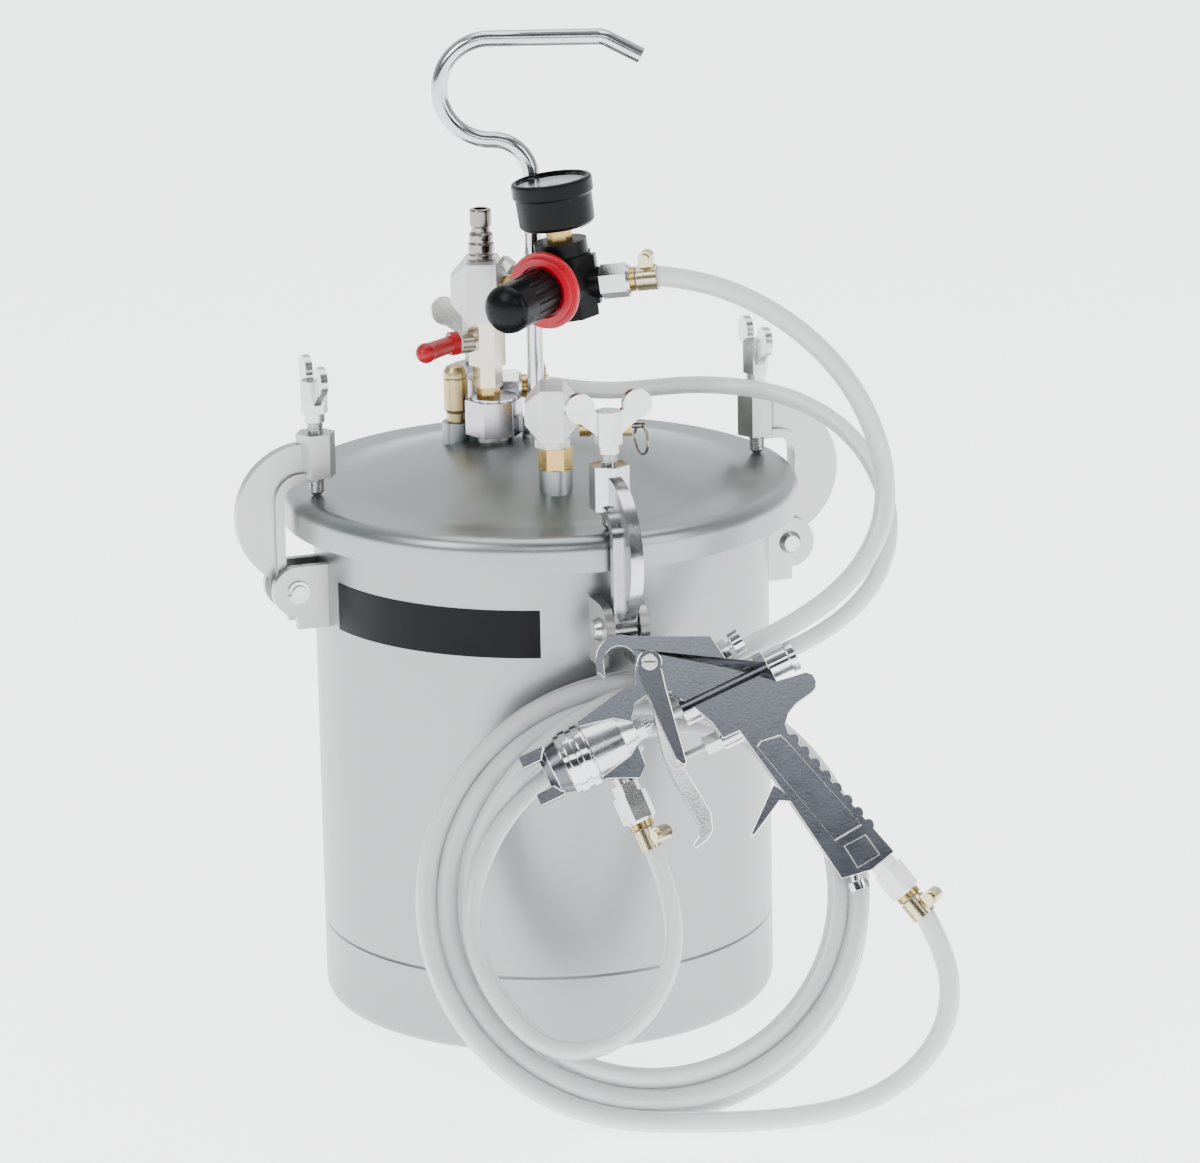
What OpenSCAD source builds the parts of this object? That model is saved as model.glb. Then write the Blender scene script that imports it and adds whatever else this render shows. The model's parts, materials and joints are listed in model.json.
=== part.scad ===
// Paint pressure pot with a clamped lid, an air regulator, two hoses and a spray gun.
// Millimetres, +Z up. The origin is the centre of the pot's underside.
// The gun and the coiled hoses rest against the front of the pot, towards -Y.

/* [Pot] */
// Outer radius of the pot
pot_r = 125; // [124:0.5:126]
// Thickness of the pot's wall and floor
pot_wall = 4; // [3:0.5:5]
// Radius of the rounded bottom edge
pot_edge_r = 9; // [6:1:12]
// Height of the seam groove round the pot
seam_z = 45; // [30:1:60]
// Thickness of the black name plate
plate_t = 0.5; // [0.3:0.1:0.8]

/* [Lid] */
// Radius of the lid's rim
lid_r = 141.5; // [141:0.5:142]
// Rise of the dome above the lid's flat rim
dome_rise = 21; // [18:1:24]

/* [Clamps] */
// Angle of the right-hand clamp from +X; the others follow at quarter turns
clamp_start = 17.5; // [15:0.5:20]
// Distance of the clamp studs from the pot's axis
stud_at = 126; // [125:0.5:127]
// Thread radius of a clamp stud
stud_r = 4; // [3.5:0.1:4.2]
// Radius of a clamp's pivot pin
pin_r = 4; // [3.5:0.1:4.5]
// Width of a clamp arm between its two ears
arm_w = 13; // [12:0.5:13.5]

/* [Hook] */
// Diameter of the carrying hook's rod
rod_d = 9; // [8:0.5:10]
// Height of the hook's upper straight
hook_top_z = 534; // [530:1:540]

/* [Hoses] */
// Outer diameter of the air hose
air_hose_d = 11; // [10:0.5:11]
// Outer diameter of the fluid hose
fluid_hose_d = 9.5; // [9:0.5:10]
// Radius of the hose coil at the middle of its bundle
coil_r = 108; // [106:1:108]

/* [Hidden] */
$fn = 64;
fit = 0.05;                 // radial clearance of a running fit
gap = 0.3;                  // clearance between bodies that pass each other

// Lid, from the pot's rim upwards
rim_z = 280;                // top of the pot's rolled rim
rim_r = pot_r + 8;
skirt_z = 274;              // lower edge of the lid's skirt
flat_z = 293;               // flat ring that the clamp studs press on
flat_r = 120;               // where the flat ring ends and the dome starts
lid_edge_r = 8;             // rounding of the lid's shoulder
seat_z = 283;               // underside of the lid above the gasket
dome_t = 4;

function dome_z(r) = flat_z + dome_rise * pow(max(0, 1 - pow(r / flat_r, 2)), 1.3);

// Clamps: radial distance and height in the plane of each clamp
pivot = [141, 243];
arm_c = [132, 283];         // centre of the arm's round back
arm_back_r = 40;
arm_inner_r = 146;          // inner face of the arm beside the lid's rim
sleeve_z = [304, 328];
head_z = [339, 357];
ear_t = 5;

// Lid bosses: x, y, radius, top
SAFETY_BOSS = [-45, 10, 8, 321];
INLET_BOSS = [-24, 2, 10, 316];
ROD_BOSS = [-1, 0, 8, 316.5];
RELIEF_BOSS = [9.5, -75, 9, 315];
OUTLET_BOSS = [-33, 27, 8.5, 321];

// Air stack above the inlet boss, from the bottom up
stack_xy = [-27, 2];
adaptor_top = 337;
nipple_top = 342.5;
valve_nut_top = 355;
valve_top = 381;
manifold_top = 413;
plug_top = 441;
stem_z = 368;               // height of the ball valve's stem
stem_a = 200;               // direction of the ball valve's stem from +X
lever_l = 26;

// Regulator: centre, sideways lean, direction of its knob and of its outlet
reg_at = [16.5, -24.5, 406.5];
reg_lean = -7;
knob_a = -30;
outlet_a = -12;
ring_y = [-27, -21];        // red ring along the knob's axis
knob_y = [-66, -27.3];

// Relief valve
relief_z = 338;

// Fluid outlet
outlet_z = 336;

// Gun frame: the gun lies on the coil and leans back on the front clamp's ears
gun_at = [54, -207, 125.4];
gun_lean = 68.5;
barrel_a = 24.7;             // barrel direction in the gun's plane, towards the rear
cap_at = [-39.5, 62.8];     // centre of the air cap's ring in the gun's plane
trigger_at = [3, 113.8];    // trigger pivot in the gun's plane
trigger_inner = 9.8;        // half the gap between the trigger's side plates
air_stem_drop = 23;         // the air valve's stem lies this far below the barrel's axis
barrel_end = 114.5;
FAN_KNOB = [40, 119.5];
fan_knob_a = 30;
BASE_KNOB = [108, 1.5];
base_knob_a = -73;

// Coil frame: the coil stands on the ground and leans back on the pot
coil_at = [54, -190, 111.5];
coil_lean = 60.5;
coil_half_w = 17.5;         // half width of the bundle, in the coil's plane
coil_half_t = 11;           // half thickness of the bundle

// Hose ends: start of the swivel nut and direction of the hose
nut_l = 16;
collar_l = 3;
clamp_l = 11;
function turn_y(v, a) = [v.x * cos(a) + v.z * sin(a), v.y, v.z * cos(a) - v.x * sin(a)];
function gun_point(p, h = 0) = gun_at + [p.x, p.y * cos(gun_lean) - h * sin(gun_lean),
    p.y * sin(gun_lean) + h * cos(gun_lean)];
function gun_dir(a) = gun_point([cos(a), sin(a)]) - gun_at;
OUTLET_DIR = turn_y([cos(outlet_a), sin(outlet_a), 0], reg_lean);
REG_END = [reg_at + turn_y([20 * cos(outlet_a), 20 * sin(outlet_a), -3], reg_lean), OUTLET_DIR];
POT_END = [[-25, 27, outlet_z], [1, 0, 0]];
GUN_FLUID_END = [gun_point([-9, 45.8]), gun_dir(-67.5)];
GUN_AIR_END = [gun_point([124.6, 4.6]), gun_dir(-52.5)];
function end_point(end, s) = end[0] + end[1] * s;
hose_start = nut_l + collar_l;

// Free stretches of the hoses, from a fitting's collar to the coil
AIR_RUN = [end_point(REG_END, hose_start), end_point(REG_END, 34), [78, -41, 411], [98, -46, 407],
    [118, -54, 399], [138, -62, 388], [155, -69, 373], [169, -76, 357], [178, -83, 339], [184, -89, 320],
    [186, -95, 302], [183, -102, 286], [174, -110, 270], [161, -118, 257], [145, -126, 247],
    [127, -134, 239], [108, -141, 231], [89, -147, 222], [71, -151, 211]];
FLUID_RUN = [end_point(POT_END, hose_start), end_point(POT_END, 33), [30, 26, 332], [54, 21, 334],
    [76, 12, 339], [98, 1, 341], [120, -10, 341], [140, -20, 338], [158, -31, 330], [172, -42, 320],
    [182, -54, 306], [188, -66, 291], [189, -78, 277], [185, -90, 263], [176, -101, 250], [163, -111, 240],
    [148, -119, 232], [132, -125, 226], [115, -129, 220], [98, -132, 215]];
AIR_TAIL = [end_point(GUN_AIR_END, hose_start), end_point(GUN_AIR_END, 34), [205, -219, 95], [210, -224, 83],
    [212, -228, 70], [210, -232, 57], [204, -236, 44], [193, -239, 32], [178, -243, 21], [160, -246, 14],
    [141, -248, 11], [120, -250, 9], [98, -252, 9], [78, -253, 10]];
FLUID_TAIL = [end_point(GUN_FLUID_END, hose_start), end_point(GUN_FLUID_END, 34), [63, -208, 127],
    [67, -214, 114], [69, -221, 101], [67, -228, 88], [61, -235, 75], [51, -241, 62], [39, -246, 52],
    [25, -249, 46], [10, -249, 44], [-4, -245, 50], [-17, -239, 61]];

// ---------------------------------------------------------------- helpers

module hex_rod(across_flats, h) {
    cylinder(d = across_flats / cos(30), h = h, $fn = 6);
}

// Octagonal rod, given across its flats
module oct_rod(across_flats, h) {
    rotate([0, 0, 22.5]) cylinder(d = across_flats / cos(22.5), h = h, $fn = 8);
}

// Turns +Z to a direction and moves to a point
module aim(point, dir) {
    translate(point)
        rotate([0, acos(dir.z / norm(dir)), atan2(dir.y, dir.x)])
            children();
}

// Stands a radius-height outline up and gives it a width across
module upright(w) {
    rotate([90, 0, 0]) translate([0, 0, -w / 2]) linear_extrude(w) children();
}

module at_each_clamp() {
    for (i = [0:3]) rotate([0, 0, clamp_start + 90 * i]) children();
}

module at_hose_ends() {
    for (end = [REG_END, POT_END, GUN_FLUID_END, GUN_AIR_END]) aim(end[0], end[1]) children();
}

module in_gun() {
    translate(gun_at) rotate([gun_lean, 0, 0]) children();
}

// Along the gun's barrel: local +Z runs to the rear from the air cap's ring
module in_barrel() {
    in_gun() translate(cap_at) rotate([0, 0, barrel_a]) rotate([0, 90, 0]) children();
}

module in_regulator() {
    translate(reg_at) rotate([0, reg_lean, 0]) children();
}

// Along the regulator's knob: local -Y is the side of the knob
module in_knob() {
    in_regulator() rotate([0, 0, knob_a]) children();
}

// A ring of rectangular section along a knob's axis, from y0 to y1
module along_knob(y0, y1) {
    in_knob() translate([0, y1, 0]) rotate([90, 0, 0]) linear_extrude(y1 - y0) children();
}

// Hose swept along a route of points
function unit(v) = v / norm(v);
function heading(p, i) = unit(p[min(i + 1, len(p) - 1)] - p[max(i - 1, 0)]);
function hose_ring(p, i, r, sides, across) = let (t = heading(p, i), u = unit(cross(t, across)), v = cross(t, u))
    [for (k = [0:sides - 1]) p[i] + r * (cos(360 * k / sides) * u + sin(360 * k / sides) * v)];

module hose(p, d, sides = 10) {
    last = len(p) - 1;
    across = [0, -sin(coil_lean), cos(coil_lean)];
    points = [for (i = [0:last]) each hose_ring(p, i, d / 2, sides, across)];
    first_cap = [for (k = [0:sides - 1]) k];
    last_cap = [for (k = [sides - 1:-1:0]) last * sides + k];
    lower = [for (i = [0:last - 1], k = [0:sides - 1]) let (n = (k + 1) % sides)
        [i * sides + k, (i + 1) * sides + k, (i + 1) * sides + n]];
    upper = [for (i = [0:last - 1], k = [0:sides - 1]) let (n = (k + 1) % sides)
        [i * sides + k, (i + 1) * sides + n, i * sides + n]];
    polyhedron(points, concat([first_cap, last_cap], lower, upper));
}

// ---------------------------------------------------------------- pot and lid

module tank_body() {
    inner = pot_r - pot_wall;
    edge = [for (a = [-90:15:0]) [pot_r - pot_edge_r + pot_edge_r * cos(a), pot_edge_r + pot_edge_r * sin(a)]];
    color("silver") rotate_extrude($fn = 128)
        polygon(concat([[0, 0]], edge, [[pot_r, seam_z - 1], [pot_r - 0.8, seam_z], [pot_r, seam_z + 1],
            [pot_r, rim_z - 7], [rim_r, rim_z - 4], [rim_r, rim_z], [inner, rim_z],
            [inner, pot_wall + 6], [inner - 6, pot_wall], [0, pot_wall]]));
}

module lid_boss(b) {
    translate([b[0], b[1], dome_z(norm([b[0], b[1]])) - dome_t])
        cylinder(r = b[2], h = b[3] - dome_z(norm([b[0], b[1]])) + dome_t);
}

module lid() {
    shoulder = [for (a = [0:15:90])
        [lid_r - lid_edge_r + lid_edge_r * cos(a), flat_z - lid_edge_r + lid_edge_r * sin(a)]];
    dome = [for (r = [flat_r:-10:0]) [r, dome_z(r)]];
    under = [for (r = [0:20:flat_r]) [r, dome_z(r) - dome_t]];
    color("silver") difference() {
        union() {
            rotate_extrude($fn = 128)
                polygon(concat([[rim_r + 3, skirt_z], [lid_r, skirt_z]], shoulder, dome, under,
                    [[123, seat_z], [rim_r + 3, seat_z]]));
            for (b = [SAFETY_BOSS, INLET_BOSS, ROD_BOSS, RELIEF_BOSS, OUTLET_BOSS]) lid_boss(b);
        }
        for (b = [SAFETY_BOSS, INLET_BOSS, RELIEF_BOSS, OUTLET_BOSS])
            translate([b[0], b[1], flat_z]) cylinder(r = 3, h = 40);
    }
}

module lid_gasket() {
    color("dimgray") translate([0, 0, rim_z]) difference() {
        cylinder(r = rim_r - 0.5, h = seat_z - rim_z, $fn = 128);
        translate([0, 0, -1]) cylinder(r = rim_r - 9, h = 8, $fn = 128);
    }
}

module name_plate() {
    color("black") translate([0, 0, 224]) rotate([0, 0, 209.5])
        rotate_extrude(angle = 60.5, $fn = 128) translate([pot_r + 0.02, 0]) square([plate_t, 26]);
}

// ---------------------------------------------------------------- clamps

module ear_outline() {
    difference() {
        union() {
            translate(pivot) circle(r = 14);
            translate([pot_r - 5, pivot.y - 21]) square([22, 20]);
            translate([pot_r - 5, pivot.y - 12]) square([18, 26]);
        }
        translate(pivot) circle(r = pin_r + fit);
    }
}

module clamp_lugs() {
    color("gainsboro") difference() {
        at_each_clamp() for (side = [-1, 1])
            translate([0, side * (arm_w / 2 + 0.5 + ear_t / 2), 0]) upright(ear_t) ear_outline();
        cylinder(r = pot_r, h = rim_z, $fn = 128);
    }
}

module pivot_pins() {
    half = arm_w / 2 + 0.5 + ear_t;
    color("lightgray") at_each_clamp() translate([pivot.x, 0, pivot.y]) rotate([90, 0, 0]) {
        translate([0, 0, -half - 3]) cylinder(r = pin_r, h = 2 * half + 3);
        translate([0, 0, half]) cylinder(r1 = 6.5, r2 = 4.5, h = 3.5);
        translate([0, 0, -half - 1.4]) difference() {
            cylinder(r = 6.2, h = 1.4);
            translate([pin_r + 0.5, -1.5, -1]) cube([5, 3, 4]);
        }
    }
}

// Inside edge of the arm, grown by a margin to give the rib
module arm_inside(margin) {
    corner = [arm_inner_r - 10, 292];
    translate([80, 200]) square([arm_inner_r + margin - 80, corner.y - 200]);
    translate([80, 200]) square([corner.x - 80, 102 + margin]);
    translate(corner) circle(r = 10 + margin);
}

module arm_web() {
    difference() {
        translate(arm_c) circle(r = arm_back_r);
        arm_inside(0);
        translate([80, 200]) square([50, 140]);
    }
}

module arm_rib() {
    intersection() {
        difference() {
            arm_inside(5);
            arm_inside(0);
        }
        translate(arm_c) circle(r = arm_back_r);
        translate([128, 240]) square([60, 90]);
    }
}

module clamp_arm(turn) {
    color("lightgray") rotate([0, 0, clamp_start + 90 * turn]) difference() {
        union() {
            upright(7) arm_web();
            upright(arm_w) arm_rib();
            translate([pivot.x, arm_w / 2, pivot.y]) rotate([90, 0, 0]) cylinder(r = 10.5, h = arm_w);
            translate([stud_at, 0, sleeve_z[0]]) hex_rod(19, sleeve_z[1] - sleeve_z[0]);
        }
        translate([stud_at, 0, sleeve_z[0] - 5]) cylinder(r = stud_r + fit, h = 40);
        translate([pivot.x, arm_w, pivot.y]) rotate([90, 0, 0]) cylinder(r = pin_r + fit, h = 2 * arm_w);
    }
}

module clamp_stud(turn) {
    tip = flat_z + gap;
    color("gray") rotate([0, 0, clamp_start + 90 * turn]) translate([stud_at, 0, 0]) {
        translate([0, 0, tip]) cylinder(r1 = 2.5, r2 = stud_r, h = 2);
        translate([0, 0, tip + 2]) cylinder(r = stud_r, h = head_z[1] - 5 - tip);
    }
}

module wing_paddle() {
    translate([4, 3]) rotate(38) square([20, 10]);
    translate([4, 3]) rotate(38) translate([20, 6.5]) circle(r = 8);
}

module wing_head(turn) {
    color("whitesmoke") rotate([0, 0, clamp_start + 90 * turn]) translate([stud_at, 0, head_z[0]]) difference() {
        union() {
            hex_rod(13, head_z[1] - head_z[0]);
            translate([0, 0, -5]) cylinder(r = 5.5, h = 6);
            for (side = [0, 180]) rotate([90, 0, 90 + side]) translate([0, 0, -2]) linear_extrude(4) wing_paddle();
        }
        translate([0, 0, -10]) cylinder(r = stud_r + fit, h = head_z[1] - head_z[0] + 7.5);
    }
}

// ---------------------------------------------------------------- carrying hook

module bend(centre, radius, from, sweep) {
    translate([centre.x, 0, centre.y]) rotate([90, 0, 0]) rotate([0, 0, from])
        rotate_extrude(angle = sweep) translate([radius, 0]) circle(d = rod_d);
}

module hook_rod() {
    rod_x = ROD_BOSS[0];
    loop_r = 27.5;
    neck_r = 21;
    neck_c = [rod_x - neck_r, hook_top_z - 2 * loop_r - neck_r];
    loop_c = [neck_c.x, hook_top_z - loop_r];
    tip_r = 12;
    tip_a = 28;
    tip_c = [36, hook_top_z - tip_r];
    color("gainsboro") {
        translate([rod_x, 0, ROD_BOSS[3]]) cylinder(d = rod_d, h = neck_c.y - ROD_BOSS[3]);
        bend(neck_c, neck_r, 0, 90);
        bend(loop_c, loop_r, 90, 180);
        translate([loop_c.x, 0, hook_top_z]) rotate([0, 90, 0]) cylinder(d = rod_d, h = tip_c.x - loop_c.x);
        bend(tip_c, tip_r, 90 - tip_a, tip_a);
        translate([tip_c.x + tip_r * sin(tip_a), 0, tip_c.y + tip_r * cos(tip_a)]) rotate([0, 90 + tip_a, 0])
            cylinder(d = rod_d, h = 20);
    }
}

module hook_nut() {
    color("gainsboro") translate([ROD_BOSS[0], 0, ROD_BOSS[3]]) difference() {
        hex_rod(13, 8);
        translate([0, 0, -1]) cylinder(d = rod_d, h = 10);
    }
}

// ---------------------------------------------------------------- air stack

module safety_valve() {
    color("goldenrod") translate([SAFETY_BOSS[0], SAFETY_BOSS[1], SAFETY_BOSS[3]]) rotate_extrude()
        polygon([[0, 0], [5, 0], [5, 5], [5.8, 6], [6.6, 7], [6.6, 24], [6.2, 24.5], [6.6, 25], [6.6, 28],
            [5, 31], [2.5, 32], [0, 32]]);
}

module inlet_adaptor() {
    color("lavender") translate([INLET_BOSS[0], INLET_BOSS[1], INLET_BOSS[3]]) rotate([0, 0, 10]) {
        hex_rod(28, adaptor_top - INLET_BOSS[3] - 1.5);
        translate([0, 0, adaptor_top - INLET_BOSS[3] - 1.5]) cylinder(r = 13, h = 1.5);
    }
}

// The hex nipple above the adaptor, the relief tee's, the gauge's stem and the regulator's inlet
module brass_nipples() {
    color("darkgoldenrod") {
        translate([stack_xy.x, stack_xy.y, adaptor_top]) hex_rod(11, nipple_top - adaptor_top);
        translate([RELIEF_BOSS[0], RELIEF_BOSS[1], RELIEF_BOSS[3]]) hex_rod(16, 12);
        in_regulator() translate([0, 0, 22]) hex_rod(12, 8);
        difference() {
            translate([stack_xy.x + 10, stack_xy.y - 11, 399]) rotate([0, 0, -20]) rotate([0, 90, 0]) hex_rod(12, 24);
            manifold_block();
            regulator_block();
        }
    }
}

module stem_frame() {
    translate([stack_xy.x, stack_xy.y, stem_z]) rotate([0, 0, stem_a]) rotate([0, 90, 0]) children();
}

module ball_valve() {
    color("wheat") difference() {
        union() {
            translate([stack_xy.x, stack_xy.y, nipple_top]) hex_rod(14, valve_nut_top - nipple_top);
            translate([stack_xy.x, stack_xy.y, valve_nut_top]) oct_rod(20, valve_top - valve_nut_top);
            stem_frame() cylinder(r = 6, h = 15.5);
            stem_frame() translate([0, 0, 9]) hex_rod(11, 7.5);
        }
        translate([stack_xy.x, stack_xy.y, nipple_top - 1]) cylinder(r = 3, h = 60);
        translate([stack_xy.x, stack_xy.y, stem_z]) sphere(r = 6 + gap);
        stem_frame() cylinder(r = 2.2 + fit, h = 30);
    }
}

// The ball's bore lies across the flow while the lever is shut
module valve_ball() {
    color("silver") translate([stack_xy.x, stack_xy.y, stem_z]) rotate([0, 0, stem_a]) difference() {
        sphere(r = 6);
        rotate([90, 0, 0]) translate([0, 0, -8]) cylinder(r = 3, h = 16);
    }
}

module valve_lever() {
    color("firebrick") stem_frame() difference() {
        union() {
            cylinder(r = 2.2, h = 18);
            translate([0, 0, 17]) cylinder(r = 6.5, h = 5);
            translate([0, 0, 20]) rotate([-38, 0, 0]) cylinder(r1 = 4.6, r2 = 5.1, h = lever_l);
            translate([0, lever_l * sin(38), 20 + lever_l * cos(38)]) sphere(r = 5.6);
        }
        sphere(r = 6);
    }
}

module manifold_block() {
    half = 17;
    mid = (valve_top + manifold_top) / 2;
    translate([stack_xy.x - 2, stack_xy.y, 0]) intersection() {
        translate([0, 16, mid]) rotate([90, 0, 0]) oct_rod(2 * half, 32);
        translate([0, 0, valve_top]) oct_rod(2 * half, manifold_top - valve_top);
    }
}

module manifold() {
    color("white") {
        manifold_block();
        aim([stack_xy.x + 6, stack_xy.y - 5, manifold_top - 10], [0.6, -0.15, 0.8]) hex_rod(8.5, 13);
    }
}

module quick_plug() {
    color("gray") translate([stack_xy.x - 2, stack_xy.y, manifold_top]) difference() {
        rotate_extrude()
            polygon([[0, 0], [7.3, 0], [7.3, 3], [6.6, 3.6], [7.1, 5], [7.1, 9], [6.2, 10], [6.6, 11.5], [6.6, 14],
                [5.2, 15.5], [5.2, 18], [6, 19], [6, plug_top - manifold_top - 1], [5.4, plug_top - manifold_top],
                [0, plug_top - manifold_top]]);
        translate([0, 0, 6]) cylinder(r = 3.5, h = 30);
    }
}

// ---------------------------------------------------------------- regulator and gauge

module regulator_block() {
    in_regulator() {
        translate([0, 0, -20]) cylinder(r = 14.5, h = 42);
        translate([0, 0, -20]) oct_rod(31, 34);
        rotate([0, 0, outlet_a]) translate([0, 0, -3]) rotate([0, 90, 0]) cylinder(r = 8.5, h = 20);
        rotate([0, 0, outlet_a]) translate([12, -3, -14]) cube([6, 6, 27]);
    }
    along_knob(ring_y[1], 0) circle(r = 16);
}

module regulator_body() {
    color("dimgray") difference() {
        regulator_block();
        along_knob(knob_y[1] - 2, -8) circle(r = 5 + fit);
    }
}

module regulator_ring() {
    color("crimson") {
        along_knob(ring_y[0] + 3, ring_y[1]) difference() {
            circle(r = 21);
            circle(r = 9);
        }
        along_knob(ring_y[0], ring_y[0] + 3) difference() {
            circle(r = 18.5);
            circle(r = 14.2);
        }
    }
}

module regulator_knob() {
    color("black") in_knob() rotate([90, 0, 0]) difference() {
        union() {
            translate([0, 0, 12]) cylinder(r = 5, h = 18);
            translate([0, 0, -knob_y[1] - 3]) cylinder(r = 8.5, h = 5);
            translate([0, 0, -knob_y[1]]) cylinder(r = 13.2, h = knob_y[1] - knob_y[0] - 4);
            translate([0, 0, -knob_y[0] - 4]) rotate_extrude()
                polygon([for (a = [0:15:90]) [13.2 * cos(a), 8 * sin(a)], [0, 0]]);
        }
        for (i = [0:15]) rotate([0, 0, 22.5 * i]) translate([13.9, 0, -knob_y[1] - 1]) cylinder(r = 1.5, h = 24);
    }
}

gauge_z = 30;               // underside of the gauge above the regulator's centre

module gauge_case() {
    color("black") in_regulator() translate([0, 0, gauge_z]) difference() {
        rotate_extrude()
            polygon([[0, 0], [18.5, 0], [20.5, 2], [20.8, 17], [22, 18], [22, 25], [21, 26], [0, 26]]);
        translate([0, 0, 19]) cylinder(r = 19, h = 10);
    }
}

module gauge_dial() {
    color("white") in_regulator() translate([0, 0, gauge_z + 19]) difference() {
        cylinder(r = 19, h = 1);
        translate([0, 0, -1]) cylinder(r = 1 + fit, h = 3);
    }
}

module gauge_needle() {
    color("black") in_regulator() translate([0, 0, gauge_z + 19.2]) rotate([0, 0, 225]) {
        translate([0, 0, 0.2]) cylinder(r = 1, h = 2.2);
        translate([0, 0, 1.5]) cylinder(r = 2.2, h = 0.8);
        translate([0, 0, 1.6]) linear_extrude(0.6) polygon([[-6, -1], [-6, 1], [14.5, 0.3], [14.5, -0.3]]);
    }
}

module gauge_lens() {
    color("lightblue", 0.4) in_regulator() translate([0, 0, gauge_z + 23]) cylinder(r = 19, h = 1.6);
}

// ---------------------------------------------------------------- relief valve

module relief_tee() {
    color("white") translate([RELIEF_BOSS[0] - 1.5, RELIEF_BOSS[1], 0]) {
        translate([0, 0, 327]) oct_rod(19, 5);
        intersection() {
            translate([0, 14, 346]) rotate([90, 0, 0]) oct_rod(29, 28);
            translate([0, 0, 331.5]) oct_rod(29, 29);
        }
    }
}

module relief_valve() {
    color("goldenrod") translate([RELIEF_BOSS[0] + 13, RELIEF_BOSS[1], relief_z]) rotate([0, 90, 0]) difference() {
        union() {
            cylinder(r = 5, h = 24);
            cylinder(r = 6, h = 6);
            translate([0, 0, 20]) hex_rod(11, 8);
        }
        translate([0, 0, 10]) cylinder(r = 2 + fit, h = 30);
    }
}

module relief_ring() {
    end_x = RELIEF_BOSS[0] + 13 + 33;
    color("gray") translate([end_x, RELIEF_BOSS[1], relief_z]) {
        translate([-20, 0, 0]) rotate([0, 90, 0]) cylinder(r = 2, h = 22);
        translate([0, 0, -8]) rotate([0, 0, 25]) rotate([0, 90, 0]) rotate_extrude() translate([8, 0]) circle(r = 0.8, $fn = 16);
    }
}

// ---------------------------------------------------------------- fluid outlet

module fluid_outlet() {
    color("silver") {
        translate([OUTLET_BOSS[0], OUTLET_BOSS[1], OUTLET_BOSS[3]]) cylinder(r = 7, h = 20);
        translate([OUTLET_BOSS[0], OUTLET_BOSS[1], OUTLET_BOSS[3] + 20]) cylinder(r1 = 7, r2 = 5, h = 2.5);
        translate([OUTLET_BOSS[0], OUTLET_BOSS[1], outlet_z]) rotate([0, 90, 0])
            cylinder(r = 6, h = POT_END[0].x - OUTLET_BOSS[0]);
    }
}

module pickup_tube() {
    top = dome_z(norm([OUTLET_BOSS[0], OUTLET_BOSS[1]])) - dome_t;
    color("gainsboro") translate([OUTLET_BOSS[0], OUTLET_BOSS[1], 16]) difference() {
        cylinder(r = 6, h = top - 19);
        translate([0, 0, -1]) cylinder(r = 4.5, h = top);
    }
}

// ---------------------------------------------------------------- hose ends and hoses

module swivel_nuts() {
    color("darkgray") at_hose_ends() {
        hex_rod(16.5, nut_l - 1.5);
        translate([0, 0, nut_l - 1.5]) cylinder(r1 = 8.2, r2 = 7.4, h = 1.5);
    }
}

module hose_barbs() {
    color("khaki") at_hose_ends() translate([0, 0, nut_l]) cylinder(r = 6.6, h = collar_l);
}

// A steel band round the hose, closed by a bolt in a rolled eye
module hose_clamp(hose_d) {
    band_r = hose_d / 2;
    color("khaki") translate([0, 0, hose_start + 1]) difference() {
        union() {
            cylinder(r = band_r + 1.4, h = clamp_l);
            translate([-band_r - 4.5, -3, 1.5]) cube([5, 6, clamp_l - 3]);
            translate([-band_r - 5.5, 4, clamp_l / 2]) rotate([90, 0, 0]) cylinder(r = 4, h = 8);
            translate([-band_r - 5.5, 6, clamp_l / 2]) rotate([90, 0, 0]) cylinder(r = 2.6, h = 12);
        }
        translate([0, 0, -1]) cylinder(r = band_r + fit, h = clamp_l + 2);
    }
}

module hose_clamps() {
    aim(REG_END[0], REG_END[1]) hose_clamp(air_hose_d);
    aim(POT_END[0], POT_END[1]) hose_clamp(fluid_hose_d);
    aim(GUN_FLUID_END[0], GUN_FLUID_END[1]) hose_clamp(fluid_hose_d);
    aim(GUN_AIR_END[0], GUN_AIR_END[1]) hose_clamp(air_hose_d);
}

module air_hose_run() { color("whitesmoke") hose(AIR_RUN, air_hose_d); }
module air_hose_tail() { color("whitesmoke") hose(AIR_TAIL, air_hose_d); }
module fluid_hose_run() { color("whitesmoke") hose(FLUID_RUN, fluid_hose_d); }
module fluid_hose_tail() { color("whitesmoke") hose(FLUID_TAIL, fluid_hose_d); }

module hose_coil() {
    color("gainsboro") translate(coil_at) rotate([coil_lean, 0, 0]) rotate_extrude($fn = 96)
        polygon([for (a = [0:30:330]) [coil_r + coil_half_w * cos(a), coil_half_t * sin(a)]]);
}

// ---------------------------------------------------------------- spray gun

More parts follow.
